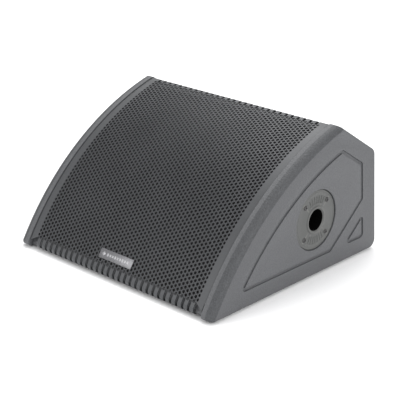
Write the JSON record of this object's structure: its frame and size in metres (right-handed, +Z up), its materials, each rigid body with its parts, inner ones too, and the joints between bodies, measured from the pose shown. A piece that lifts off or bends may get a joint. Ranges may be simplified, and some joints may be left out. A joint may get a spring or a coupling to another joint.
{
  "type": "active stage monitor wedge",
  "caption": "Low wedge-shaped stage monitor with a curved perforated grille, thick textured cheeks, a side pole socket and an amplifier tray in its back.",
  "frame": {"origin": "centre of the bounding box on the floor, under the four rubber feet", "axes": "+Z up, +X to the cheek with the pole socket, -Y to the side the curved grille faces"},
  "size_m": [0.442, 0.42, 0.2443],
  "materials": {
    "cabinet_paint": "rough textured black paint over birch plywood",
    "raw_plywood": "bare birch plywood, stained dark at the front",
    "grille_steel": "matt black powder coat on perforated steel",
    "grille_foam": "open acoustic foam",
    "badge_metal": "satin grey",
    "black_screw": "black oxide, semi-gloss",
    "socket_plastic": "moulded glass-filled nylon, satin",
    "black_plastic": "moulded, fine texture",
    "handle_rubber": "soft rubber sleeve",
    "foot_rubber": "matt rubber",
    "cast_alloy": "black painted casting",
    "surround_rubber": "treated roll surround",
    "paper_cone": "pressed paper, black",
    "copper": "enamelled copper wire",
    "spider_cloth": "resin-treated corrugated cloth",
    "plain_steel": "zinc plated",
    "magnet_steel": "plated neodymium ring",
    "diaphragm_metal": "thin formed foil",
    "tray_paint": "fine textured black powder coat",
    "black_aluminium": "black anodised",
    "latch_plastic": "moulded grey",
    "knob_plastic": "moulded, semi-matt",
    "clear_lens": "tinted light pipe",
    "board_green": "solder-masked circuit board",
    "lead_insulation": "insulated flex",
    "wadding": "loose polyester wadding"
  },
  "bodies": {
    "cabinet": {"side_panel_right": "cabinet_paint", "side_panel_left": "cabinet_paint", "base_panel": "cabinet_paint", "slope_panel": "cabinet_paint", "back_panel": "cabinet_paint", "nose_rail": "cabinet_paint", "crest_rail": "cabinet_paint", "baffle": "raw_plywood", "grille": "grille_steel", "grille_foam": "grille_foam", "badge_plate": "badge_metal", "grille_screw_1": "black_screw", "grille_screw_2": "black_screw", "grille_screw_3": "black_screw", "pole_socket": "socket_plastic", "socket_screw_1": "black_screw", "socket_screw_2": "black_screw", "socket_screw_3": "black_screw", "socket_screw_4": "black_screw", "handle_cup": "black_plastic", "handle_bar": "handle_rubber", "handle_screw_1": "black_screw", "handle_screw_2": "black_screw", "handle_screw_3": "black_screw", "handle_screw_4": "black_screw", "foot_1": "foot_rubber", "foot_2": "foot_rubber", "foot_3": "foot_rubber", "foot_4": "foot_rubber", "woofer_basket": "cast_alloy", "woofer_surround": "surround_rubber", "spider": "spider_cloth", "top_plate": "plain_steel", "magnet": "magnet_steel", "back_plate": "plain_steel", "hf_horn": "black_plastic", "hf_diaphragm": "diaphragm_metal", "hf_housing": "cast_alloy", "port_tube_left": "black_plastic", "port_tube_right": "black_plastic", "amp_tray": "tray_paint", "heat_sink": "black_aluminium", "combo_jack": "black_plastic", "link_jack": "black_plastic", "led_lens": "clear_lens", "mains_inlet": "black_plastic", "amp_board": "board_green", "transformer": "copper", "woofer_lead": "lead_insulation", "wadding": "wadding"},
    "moving_cone": {"woofer_cone": "paper_cone", "voice_coil": "copper"},
    "volume_knob": {"volume_knob": "knob_plastic"},
    "preset_knob": {"preset_knob": "knob_plastic"},
    "lift_button": {"lift_button": "knob_plastic"},
    "jack_latch": {"jack_latch": "latch_plastic"},
    "fuse_drawer": {"fuse_drawer": "knob_plastic"},
    "power_rocker": {"power_rocker": "knob_plastic"}
  },
  "joints": [
    {"name": "cone_travel", "type": "slide", "parent": "cabinet", "child": "moving_cone", "axis": [0, -0.6223, 0.7827], "range_m": [-0.004, 0.004], "stiffness_N_per_m": 3000, "deforming": ["woofer_surround", "spider"]},
    {"name": "volume_turn", "type": "hinge", "parent": "cabinet", "child": "volume_knob", "pos_m": [0.018, 0.20241, 0.06085], "axis": [0, 0.9944, 0.1058], "range_deg": [-150, 150]},
    {"name": "preset_turn", "type": "hinge", "parent": "cabinet", "child": "preset_knob", "pos_m": [-0.018, 0.20241, 0.06085], "axis": [0, 0.9944, 0.1058], "continuous": true},
    {"name": "lift_press", "type": "slide", "parent": "cabinet", "child": "lift_button", "axis": [0, -0.9944, -0.1058], "range_m": [0, 0.003], "stiffness_N_per_m": 300, "springref_m": -0.002},
    {"name": "latch_press", "type": "slide", "parent": "cabinet", "child": "jack_latch", "axis": [0, -0.9944, -0.1058], "range_m": [0, 0.0008], "stiffness_N_per_m": 500, "springref_m": -0.001},
    {"name": "fuse_pull", "type": "slide", "parent": "cabinet", "child": "fuse_drawer", "axis": [0, 0.9944, 0.1058], "range_m": [0, 0.02]},
    {"name": "power_tilt", "type": "hinge", "parent": "cabinet", "child": "power_rocker", "pos_m": [-0.1, 0.1738, 0.11613], "axis": [1, 0, 0], "range_deg": [0, 14]}
  ]
}
